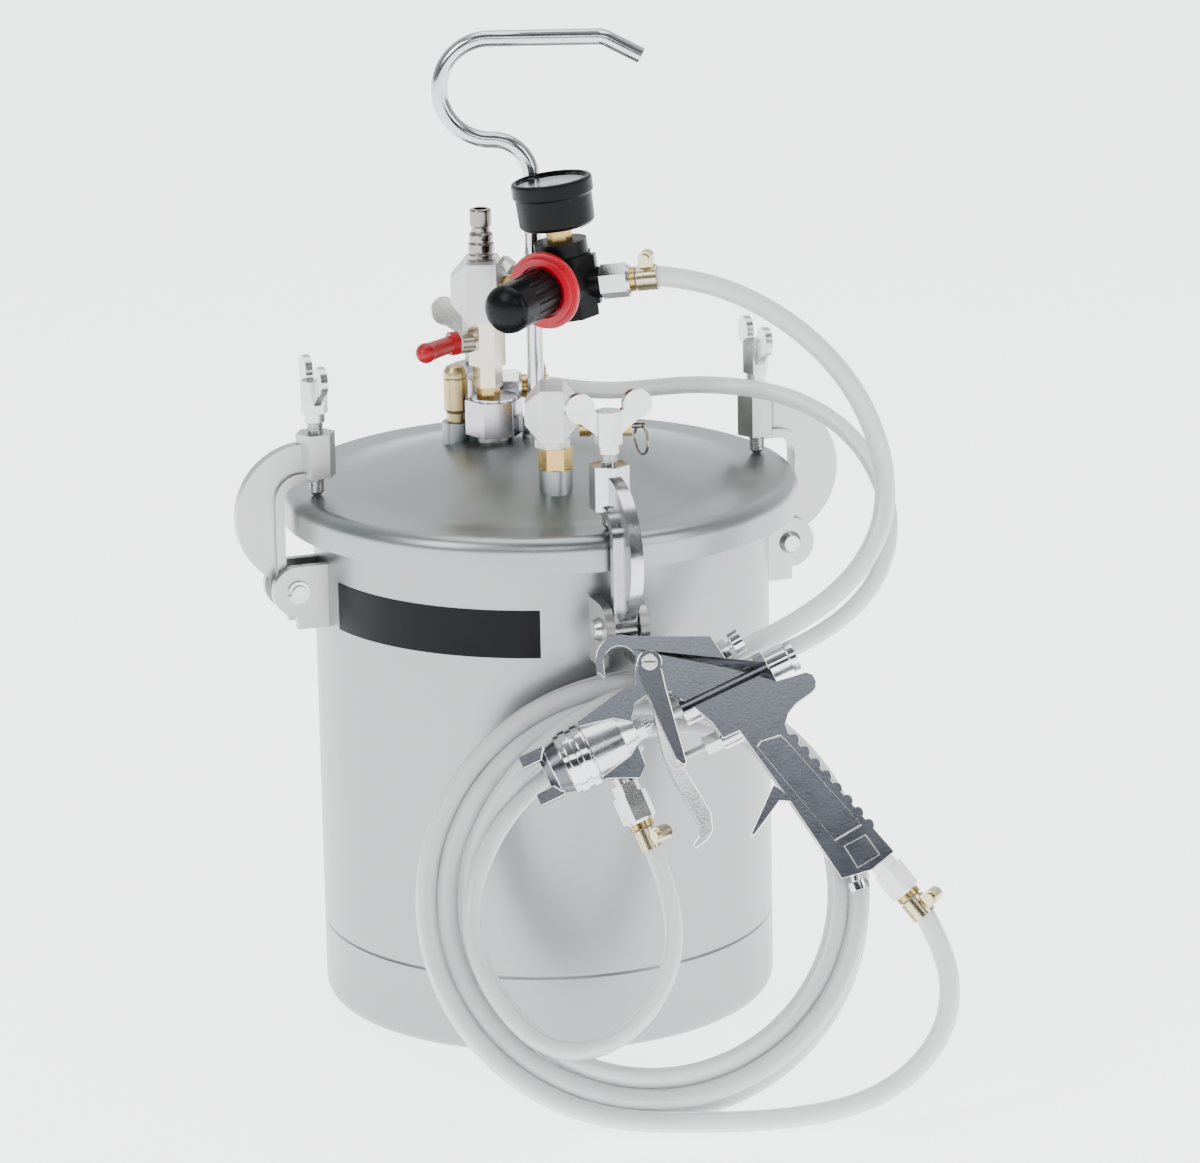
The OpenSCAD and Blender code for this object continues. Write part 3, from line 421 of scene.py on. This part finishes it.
AIR_RUN = [aimed(REG_START, REG_DIR, HOSE_START), aimed(REG_START, REG_DIR, 34),
           (98, -46, 407), (118, -54, 399), (138, -62, 388), (155, -69, 373), (169, -76, 357),
           (178, -83, 339), (184, -89, 320), (186, -95, 302), (183, -102, 286), (174, -110, 270),
           (161, -118, 257), (145, -126, 247), (127, -134, 239), (108, -141, 231)]
FLUID_RUN = [aimed(POT_START, POT_DIR, HOSE_START), aimed(POT_START, POT_DIR, 33), (30, 26, 332),
             (54, 21, 334), (76, 12, 339), (98, 1, 341), (120, -10, 341), (140, -20, 338),
             (158, -31, 330), (172, -42, 320), (182, -54, 306), (188, -66, 291), (189, -78, 277),
             (185, -90, 263), (176, -101, 250), (163, -111, 240), (148, -119, 232), (132, -125, 226),
             (115, -129, 220)]
AIR_TAIL = [aimed(GUN_AIR_START, GUN_AIR_DIR, HOSE_START), aimed(GUN_AIR_START, GUN_AIR_DIR, 34),
            (205, -219, 95), (210, -224, 83), (212, -228, 70), (210, -232, 57), (204, -236, 44),
            (193, -239, 32), (178, -243, 21), (160, -246, 14), (141, -248, 11), (120, -250, 9),
            (98, -252, 9)]
FLUID_TAIL = [aimed(GUN_FLUID_START, GUN_FLUID_DIR, HOSE_START),
              aimed(GUN_FLUID_START, GUN_FLUID_DIR, 34), (63, -208, 127), (67, -214, 114),
              (69, -221, 101), (67, -228, 88), (61, -235, 75), (51, -241, 62), (39, -246, 52),
              (25, -249, 46), (-4, -245, 48)]


def air_route():
    pts = list(AIR_RUN)
    for phi in range(95, 1002, 10):
        u = -0.8 - 13.5 * ease((phi - 81) / 54) if phi < 135 else -14.3 + 26.6 * (phi - 135) / 866
        w = 16.3 - 11.1 * ease((phi - 105) / 60)
        pts.append(ring_point(u, w, phi))
    return pts + AIR_TAIL[::-1]


FLUID_U = [(70, 18.5), (95, 11.5), (780, -7.1), (825, -19.5), (852, -24.8), (880, -21.5), (912, -12),
           (944, -9.6)]
FLUID_W = [(70, 0.5), (95, -5.2), (780, -5.2), (820, -3.5), (850, 4), (882, 13), (912, 17), (944, 17.6)]


def fluid_route():
    pts = list(FLUID_RUN)
    for phi in range(88, 945, 8):
        u = 11.5 - 18.6 * (phi - 95) / 685 if 95 < phi < 780 else along(FLUID_U, phi)
        pts.append(ring_point(u, along(FLUID_W, phi), phi))
    return pts + FLUID_TAIL[::-1]


SOFTEN_PASSES = 26
HOSE_STEP = 4.5 * MM     # between the centreline's points
HOSE_SIDES = 20


def soften(line):
    """Evens out a hose's bends, as its stiffness does, keeps its ends, and measures its length."""
    for _ in range(SOFTEN_PASSES):
        line = line[:4] + [line[i] * 0.5 + (line[i - 1] + line[i + 1]) * 0.25
                           for i in range(4, len(line) - 4)] + line[-4:]
    return line, sum((b - a).length for a, b in zip(line, line[1:]))


def make_hose(name, route, diameter, bore, body, replaced):
    """A hose along its route, in place of the CAD hose parts that it hides."""
    line, total = soften(smooth_line([tuple(c * MM for c in p) for p in route], HOSE_STEP)[0])
    verts, faces = pipe(line, diameter / 2, bore / 2, HOSE_SIDES)
    obj = add_mesh(name, verts, faces, body, "hose_clear")
    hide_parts(*replaced)


POT = NODE_BODY["tank_body"]
make_hose("air_hose", air_route(), AIR_D, AIR_BORE, POT, ("air_hose_run", "air_hose_tail", "hose_coil"))
make_hose("fluid_hose", fluid_route(), FLUID_D, FLUID_BORE, POT, ("fluid_hose_run", "fluid_hose_tail"))


# ---------------------------------------------------------------- finishes on the CAD nodes
def smooth_group(angle_deg):
    """Geometry nodes: smooth faces, sharp edges above an angle."""
    g = bpy.data.node_groups.new("smooth_by_angle", "GeometryNodeTree")
    g.interface.new_socket("Geometry", in_out="INPUT", socket_type="NodeSocketGeometry")
    g.interface.new_socket("Geometry", in_out="OUTPUT", socket_type="NodeSocketGeometry")
    gin, gout = g.nodes.new("NodeGroupInput"), g.nodes.new("NodeGroupOutput")
    faces = g.nodes.new("GeometryNodeSetShadeSmooth")
    edges = g.nodes.new("GeometryNodeSetShadeSmooth")
    edges.domain = "EDGE"
    ang = g.nodes.new("GeometryNodeInputMeshEdgeAngle")
    less = g.nodes.new("FunctionNodeCompare")
    less.data_type = "FLOAT"
    less.operation = "LESS_EQUAL"
    less.inputs[1].default_value = math.radians(angle_deg)
    g.links.new(ang.outputs["Unsigned Angle"], less.inputs[0])
    g.links.new(gin.outputs[0], faces.inputs["Geometry"])
    g.links.new(faces.outputs["Geometry"], edges.inputs["Geometry"])
    g.links.new(less.outputs[0], edges.inputs["Shade Smooth"])
    g.links.new(edges.outputs["Geometry"], gout.inputs[0])
    return g


SMOOTH = smooth_group(32)
CRISP = smooth_group(11)      # keeps the barrel's low step on the gun's flat faces sharp
WELD_GAP = 0.01 * MM
FLAT_WITHIN = math.radians(0.6)
BEVEL_ABOVE = math.radians(34)


def finish_node(node, material, bevel=0.3, edge=None):
    """Gives a CAD node its material, softened edges and smooth curved faces; a second material, where given, is
    a painted highlight on the bevelled edges.
    """
    obj = NODES[node]
    mesh = obj.data
    if "custom_normal" in mesh.attributes:
        mesh.attributes.remove(mesh.attributes["custom_normal"])
    mesh.materials.clear()
    mesh.materials.append(MATS[material])
    if edge:
        mesh.materials.append(MATS[edge])
    for p in mesh.polygons:
        p.material_index = 0
    weld = obj.modifiers.new("weld", "WELD")
    weld.merge_threshold = WELD_GAP
    flat = obj.modifiers.new("flat", "DECIMATE")
    flat.decimate_type = "DISSOLVE"
    flat.angle_limit = FLAT_WITHIN
    if bevel:
        b = obj.modifiers.new("bevel", "BEVEL")
        b.width = bevel * MM
        b.segments = 2
        b.limit_method = "ANGLE"
        b.angle_limit = BEVEL_ABOVE
        b.harden_normals = False
        b.use_clamp_overlap = not edge
        # painted highlight: the bevel's faces take the second material
        if edge:
            b.material = 1
    s = obj.modifiers.new("smooth", "NODES")
    s.node_group = CRISP if edge else SMOOTH
    if bevel:
        n = obj.modifiers.new("normals", "WEIGHTED_NORMAL")
        n.mode = "FACE_AREA"
        n.weight = 100
        n.keep_sharp = True


FINISHES = {
    "tank_body": ("pot_steel", 0.5), "lid": ("lid_steel", 0.6), "lid_gasket": ("gasket", 0),
    "name_plate": ("plate_black", 0), "clamp_lugs": ("cast_steel", 0.8), "pivot_pins": ("zinc", 0.4),
    "hook_rod": ("rod_steel", 0.4), "hook_nut": ("zinc", 0.4), "safety_valve": ("dull_brass", 0.4),
    "inlet_adaptor": ("chrome", 0.4), "brass_nipples": ("brass", 0.3), "ball_valve": ("nickel", 0.4),
    "valve_ball": ("chrome", 0), "valve_lever": ("lever_red", 0.5), "manifold": ("satin_nickel", 0.6),
    "quick_plug": ("dark_nickel", 0.3), "regulator_body": ("black_paint", 0.5),
    "regulator_ring": ("ring_red", 0.5), "regulator_knob": ("knob_black", 0.4),
    "gauge_case": ("black_paint", 0.5), "gauge_dial": ("dial_white", 0), "gauge_lens": ("lens", 0),
    "gauge_needle": ("needle_black", 0), "relief_tee": ("satin_nickel", 0.6),
    "relief_valve": ("brass", 0.3), "relief_ring": ("dark_nickel", 0), "fluid_outlet": ("satin_nickel", 0.4),
    "pickup_tube": ("rod_steel", 0), "swivel_nuts": ("zinc", 0.4), "hose_barbs": ("brass", 0),
    # the gun's chrome carries painted light: painted dark reflections on flat faces and the air cap, painted
    # highlights on edges and knobs
    "hose_clamps": ("yellow_zinc", 0.25), "gun_body": ("gun_chrome", 0.2, "gun_edge_painted_highlight"),
    "gun_trigger": ("trigger_chrome_painted_light", 0.4, "gun_edge_painted_highlight"), "trigger_screw": ("zinc", 0.4),
    "fluid_needle": ("stud_steel", 0.2), "air_valve_stem": ("stud_steel", 0.2),
    "air_cap": ("gun_dark_painted_shade", 0.4, "gun_bright_painted_highlight"), "air_cap_ring": ("gun_bright_painted_highlight", 0.3),
    "fluid_nozzle": ("stud_steel", 0.2), "fan_knob": ("gun_bright_painted_highlight", 0.3), "fluid_knob": ("gun_bright_painted_highlight", 0.3),
    "base_knob": ("gun_bright_painted_highlight", 0.3), "gun_fittings": ("zinc", 0.3)}
for side in ("front", "right", "back", "left"):
    # the front arm takes the painted-highlight copy of the cast steel, the others the plain one
    FINISHES["arm_" + side] = ("cast_painted_highlight" if side == "front" else "cast_steel", 1.2)
    FINISHES["stud_" + side] = ("stud_steel", 0.3)
    FINISHES["wing_" + side] = ("zinc", 0.6)
for node_name, args in FINISHES.items():
    finish_node(node_name, *args)


# ---------------------------------------------------------------- small details
REGULATOR_AT = Vector((16.5, -24.5, 406.5)) * MM
REGULATOR_LEAN = math.radians(-7)
DIAL_TOP = 50.0          # the dial's face above the regulator's centre, mm
DIAL_START, DIAL_SWEEP = 225, 270
DIAL_STEPS = 30
STUD_R = 4.0
THREAD_PITCH = 1.25


def in_regulator(x, y, z):
    return REGULATOR_AT + Matrix.Rotation(REGULATOR_LEAN, 3, "Y") @ (Vector((x, y, z)) * MM)


def in_gun(x, y, h):
    lean = math.radians(68.5)
    c, s = math.cos(lean), math.sin(lean)
    return Vector(GUN_ORIGIN) + Vector((x, y * c - h * s, y * s + h * c)) * MM


def slab(place, quads, z0, z1):
    """Flat bars standing between two heights, each given by its four corners."""
    verts, faces = [], []
    for quad in quads:
        n = len(verts)
        verts += [place(x, y, z0) for x, y in quad] + [place(x, y, z1) for x, y in quad]
        faces += [(n + 3, n + 2, n + 1, n), (n + 4, n + 5, n + 6, n + 7)]
        faces += [(n + k, n + (k + 1) % 4, n + 4 + (k + 1) % 4, n + 4 + k) for k in range(4)]
    return verts, faces


def dial_marks():
    quads = []
    for i in range(DIAL_STEPS + 1):
        t = math.radians(DIAL_START - DIAL_SWEEP * i / DIAL_STEPS)
        inner, half = (12.4, 0.30) if i % 5 == 0 else (14.2, 0.14)
        c, s = math.cos(t), math.sin(t)
        quads.append([(inner * c + half * s, inner * s - half * c), (16.4 * c + half * s, 16.4 * s - half * c),
                      (16.4 * c - half * s, 16.4 * s + half * c), (inner * c - half * s, inner * s + half * c)])
    verts, faces = slab(in_regulator, quads, DIAL_TOP, DIAL_TOP + 0.08)
    add_mesh("dial_marks", verts, faces, NODE_BODY["gauge_dial"], "mark_black", False)
    for i in range(0, DIAL_STEPS + 1, 5):
        t = math.radians(DIAL_START - DIAL_SWEEP * i / DIAL_STEPS)
        data = bpy.data.curves.new(f"dial_number_{i}", "FONT")
        data.body = str(i // 5 * 2)
        data.size = 3.4 * MM
        data.extrude = 0.04 * MM
        data.align_x, data.align_y = "CENTER", "CENTER"
        data.materials.append(MATS["mark_black"])
        obj = bpy.data.objects.new(f"dial_number_{i}", data)
        bpy.context.collection.objects.link(obj)
        obj.location = in_regulator(9.6 * math.cos(t), 9.6 * math.sin(t), DIAL_TOP + 0.06)
        obj.rotation_euler = (0, REGULATOR_LEAN, 0)
        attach(obj, NODE_BODY["gauge_dial"])


def stud_threads():
    for side in ("front", "right", "back", "left"):
        low, high = (Vector(v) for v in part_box("stud_" + side))
        middle = (low + high) / 2
        verts, faces = [], []
        for z0, z1 in ((295.6, 303.6), (328.6, 338.4)):
            turns = (z1 - z0) / THREAD_PITCH
            line = []
            for k in range(int(turns * 20) + 1):
                t = 2 * math.pi * k / 20
                line.append(Vector((middle.x + STUD_R * MM * math.cos(t), middle.y + STUD_R * MM * math.sin(t),
                                    (z0 + THREAD_PITCH * k / 20) * MM)))
            n = len(verts)
            v, f = pipe(line, 0.42 * MM, 0.1 * MM, 6)
            verts += v
            faces += [tuple(n + i for i in face) for face in f]
        add_mesh("thread_" + side, verts, faces, NODE_BODY["stud_" + side], "stud_steel")


GRIP_PANEL = [(57.5, 69.2), (59.5, 72), (70, 75.2), (72.8, 72.6), (111.5, 27), (97.4, 19)]
GRIP_FOOT = [(101.5, 16.6), (113.4, 22.6), (120.8, 11.6), (108.6, 4.6)]
CASTING_HALF = 9.0


def grip_frames():
    """Raised borders on both faces of the grip, in the painted-highlight chrome."""
    for name, outline in (("grip_panel", GRIP_PANEL), ("grip_foot", GRIP_FOOT)):
        verts, faces = [], []
        count = len(outline)
        middle = Vector((sum(p[0] for p in outline) / count, sum(p[1] for p in outline) / count))
        for side in (-1, 1):
            n = len(verts)
            for shrink, height in ((0.0, 0.0), (0.35, 0.45), (0.75, 0.45), (1.1, 0.0)):
                for p in outline:
                    q = Vector(p) + (middle - Vector(p)).normalized() * shrink
                    verts.append(in_gun(q.x, q.y, side * (CASTING_HALF + height - 0.02)))
            for ring in range(4):
                for k in range(count):
                    a, b = ring * count + k, ring * count + (k + 1) % count
                    c, d = (ring + 1) % 4 * count + (k + 1) % count, (ring + 1) % 4 * count + k
                    quad = (n + a, n + b, n + c, n + d)
                    faces.append(quad if side < 0 else quad[::-1])
        add_mesh(name, verts, faces, POT, "gun_edge_painted_highlight", False)


def screw_slot_shades():
    """Driver slots in the trigger's pivot screw, as dark inlaid bars: painted shade where the slots are, none
    is cut.
    """
    half = 14.05
    for side, sign in (("near", 1), ("far", -1)):
        quads = [[(-0.2, 113.3), (6.2, 113.3), (6.2, 114.3), (-0.2, 114.3)]]
        z0, z1 = (half - 0.3, half) if sign > 0 else (-half, -half + 0.3)
        verts, faces = slab(in_gun, quads, z0, z1)
        add_mesh("pivot_slot_shade_" + side, verts, faces, NODE_BODY["trigger_screw"], "gun_dark_painted_shade", False)


dial_marks()
stud_threads()
grip_frames()
screw_slot_shades()


# ---------------------------------------------------------------- studio
FLOOR_R = 30.0


def make_floor():
    """A plain pale floor, wide enough to fill the view from every side."""
    count = 64
    turn = [2 * math.pi * k / count for k in range(count)]
    mesh = bpy.data.meshes.new("floor")
    mesh.from_pydata([(FLOOR_R * math.cos(a), FLOOR_R * math.sin(a), -0.0002) for a in turn], [],
                     [tuple(range(count))])
    mesh.materials.append(MATS["floor"])
    obj = bpy.data.objects.new("floor", mesh)
    bpy.context.collection.objects.link(obj)


def make_light(name, at, aim, size, power, colour=(1, 1, 1)):
    data = bpy.data.lights.new(name, "AREA")
    data.shape = "RECTANGLE"
    data.size, data.size_y = size
    data.energy = power
    data.color = colour
    obj = bpy.data.objects.new(name, data)
    bpy.context.collection.objects.link(obj)
    obj.location = at
    obj.rotation_euler = (Vector(aim) - Vector(at)).to_track_quat("-Z", "Y").to_euler()


make_floor()
make_light("key", (-1.6, -1.5, 1.9), (0, 0, 0.25), (1.0, 1.4), 34)
make_light("fill", (1.8, -1.3, 1.2), (0, 0, 0.25), (0.8, 1.6), 20)
make_light("top", (0.1, 0.2, 2.4), (0, 0, 0.2), (1.8, 1.6), 28)
make_light("front", (0.1, -2.6, 1.7), (0, 0, 0.2), (1.6, 0.6), 12)


def make_world():
    """A pale studio with a darker room behind the camera, so that polished metal has contrast."""
    world = bpy.data.worlds.new("studio")
    world.use_nodes = True
    nodes, links = world.node_tree.nodes, world.node_tree.links
    coord = nodes.new("ShaderNodeTexCoord")
    parts = nodes.new("ShaderNodeSeparateXYZ")
    ramp = nodes.new("ShaderNodeValToRGB")
    span = nodes.new("ShaderNodeMapRange")
    span.inputs["From Min"].default_value = -1
    links.new(coord.outputs["Generated"], parts.inputs["Vector"])
    links.new(parts.outputs["Y"], span.inputs["Value"])
    links.new(span.outputs["Result"], ramp.inputs["Fac"])
    els = ramp.color_ramp.elements
    els[0].position, els[0].color = 0.08, (0.028, 0.030, 0.034, 1)
    els[1].position, els[1].color = 0.90, (0.70, 0.715, 0.725, 1)
    middle = els.new(0.60)
    middle.color = (0.29, 0.296, 0.30, 1)
    links.new(ramp.outputs["Color"], nodes["Background"].inputs["Color"])
    nodes["Background"].inputs["Strength"].default_value = 2.0
    bpy.context.scene.world = world


make_world()
